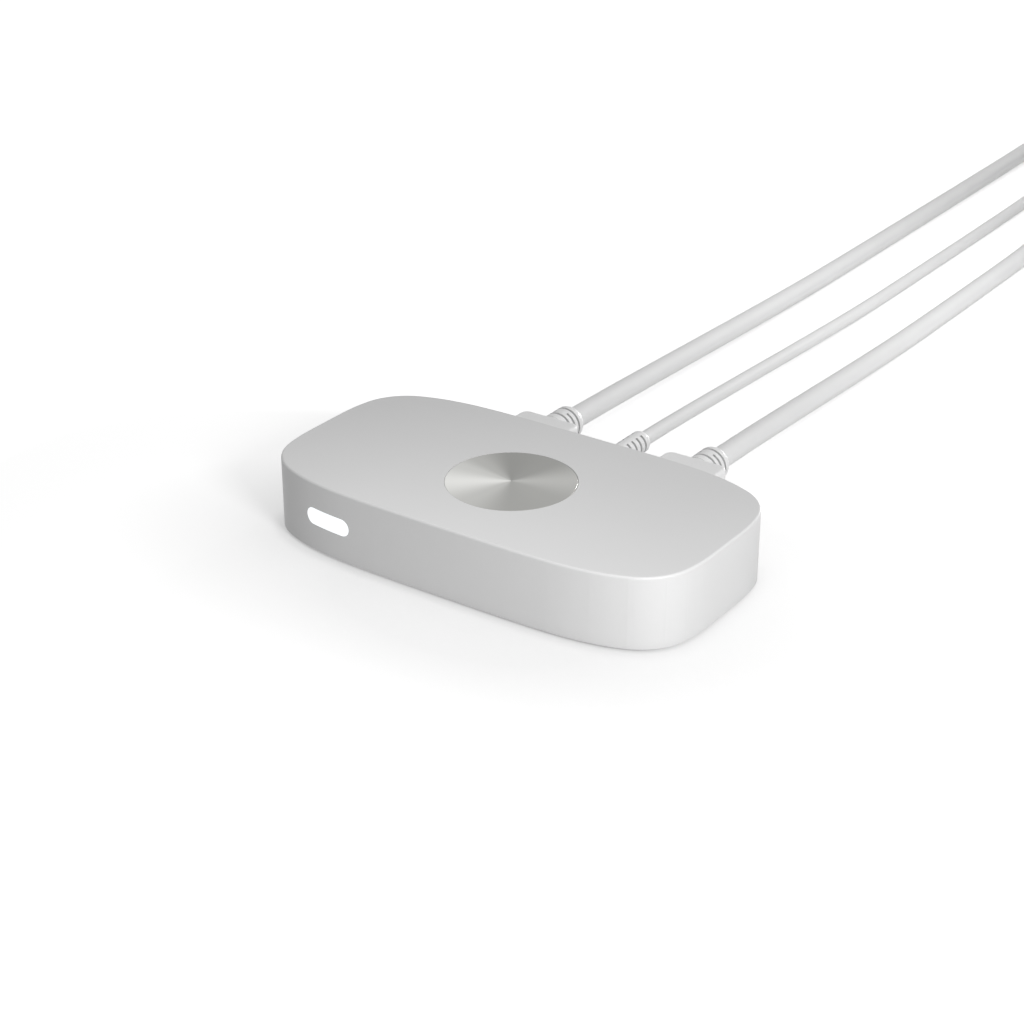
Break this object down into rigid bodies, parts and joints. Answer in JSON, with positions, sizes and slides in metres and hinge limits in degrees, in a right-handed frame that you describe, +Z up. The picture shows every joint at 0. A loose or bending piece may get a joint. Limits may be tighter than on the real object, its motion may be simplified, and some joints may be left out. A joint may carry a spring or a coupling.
{
  "type": "game capture device",
  "caption": "Low rounded video capture box with a front status light, rear digital video and data sockets, and plugged-in cables with moulded hoods and spare cord coiled.",
  "frame": {"origin": "on the table, under the middle of the housing", "axes": "+X along the long side of the housing, to the right seen from its front; +Y out of the rear wall with the sockets; +Z up"},
  "size_m": [0.1557, 0.5075, 0.0216],
  "materials": {
    "housing_plastic": "fine satin texture, white",
    "inlay_metal": "satin, plain",
    "status_lens": "frosted, lit white",
    "clear_acrylic": "polished, clear",
    "diode_package": "phosphor-filled resin",
    "foot_rubber": "matt, light grey",
    "screw_steel": "zinc plated",
    "circuit_board": "solder mask, satin",
    "plated_steel": "nickel plated, stamped",
    "socket_plastic": "moulded, matt",
    "contact_gold": "gold flashed",
    "chip_package": "moulding compound",
    "pad_silicone": "soft, matt",
    "sink_aluminium": "extruded, satin",
    "ferrite": "pressed powder, matt",
    "chip_ceramic": "fired, satin",
    "hood_plastic": "satin, white",
    "relief_plastic": "soft moulding, white",
    "cord_jacket": "smooth soft jacket, white",
    "tie_fabric": "woven loop strap, pale grey"
  },
  "bodies": {
    "housing": {"upper_shell": "housing_plastic", "base_cover": "housing_plastic", "badge_disc": "inlay_metal", "status_lens": "status_lens", "light_guide": "clear_acrylic", "status_leds": "diode_package", "rubber_feet": "foot_rubber", "case_screws": "screw_steel", "board_screws": "screw_steel", "main_board": "circuit_board", "video_in_socket_shell": "plated_steel", "video_out_socket_shell": "plated_steel", "video_socket_tongues": "socket_plastic", "data_socket_shell": "plated_steel", "data_socket_tongue": "socket_plastic", "socket_contacts": "contact_gold", "video_processor": "chip_package", "thermal_pad": "pad_silicone", "heat_sink": "sink_aluminium", "memory_chips": "chip_package", "signal_retimers": "chip_package", "power_inductors": "ferrite", "power_capacitors": "sink_aluminium", "clock_crystal": "plated_steel", "ceramic_capacitors": "chip_ceramic"},
    "video_in_cable": {"video_in_plug_shell": "plated_steel", "video_in_plug_insert": "socket_plastic", "video_in_plug_hood": "hood_plastic", "video_in_plug_relief": "relief_plastic", "video_in_cord": "cord_jacket", "video_in_coil": "cord_jacket", "video_in_cable_tie": "tie_fabric", "video_in_far_shell": "plated_steel", "video_in_far_insert": "socket_plastic", "video_in_far_hood": "hood_plastic", "video_in_far_relief": "relief_plastic"},
    "video_out_cable": {"video_out_plug_shell": "plated_steel", "video_out_plug_insert": "socket_plastic", "video_out_plug_hood": "hood_plastic", "video_out_plug_relief": "relief_plastic", "video_out_cord": "cord_jacket", "video_out_coil": "cord_jacket", "video_out_cable_tie": "tie_fabric", "video_out_far_shell": "plated_steel", "video_out_far_insert": "socket_plastic", "video_out_far_hood": "hood_plastic", "video_out_far_relief": "relief_plastic"},
    "data_cable": {"data_plug_shell": "plated_steel", "data_plug_insert": "socket_plastic", "data_plug_hood": "hood_plastic", "data_plug_relief": "relief_plastic", "data_cord": "cord_jacket", "data_coil": "cord_jacket", "data_cable_tie": "tie_fabric", "data_far_shell": "plated_steel", "data_far_insert": "socket_plastic", "data_far_hood": "hood_plastic", "data_far_relief": "relief_plastic"}
  },
  "joints": [
    {"name": "video_in_unplug", "type": "slide", "parent": "housing", "child": "video_in_cable", "axis": [0, 1, 0], "range_m": [0, 0.012]},
    {"name": "video_out_unplug", "type": "slide", "parent": "housing", "child": "video_out_cable", "axis": [0, 1, 0], "range_m": [0, 0.012]},
    {"name": "data_unplug", "type": "slide", "parent": "housing", "child": "data_cable", "axis": [0, 1, 0], "range_m": [0, 0.007]}
  ]
}
